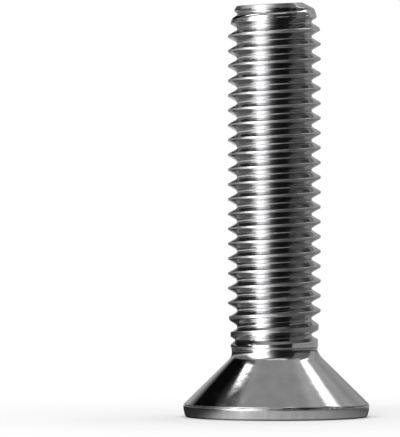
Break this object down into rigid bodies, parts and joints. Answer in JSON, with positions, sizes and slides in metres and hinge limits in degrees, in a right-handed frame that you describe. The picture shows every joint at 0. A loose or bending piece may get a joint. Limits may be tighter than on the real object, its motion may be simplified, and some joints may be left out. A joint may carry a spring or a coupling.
{
  "type": "countersunk socket screw",
  "caption": "Countersunk screw with a flat 90 degree head, a hexagonal socket, a short plain neck and a right-hand metric thread up to its chamfered point.",
  "frame": {"origin": "centre of the flat head face, which the screw stands on", "axes": "+Z along the axis from the head face to the point; +X across two corners of the hexagonal socket"},
  "size_m": [0.0158, 0.0158, 0.035],
  "materials": {
    "stainless_steel": "bright rolled thread, satin head face"
  },
  "bodies": {
    "root": {"countersunk_socket_screw": "stainless_steel"}
  },
  "joints": []
}
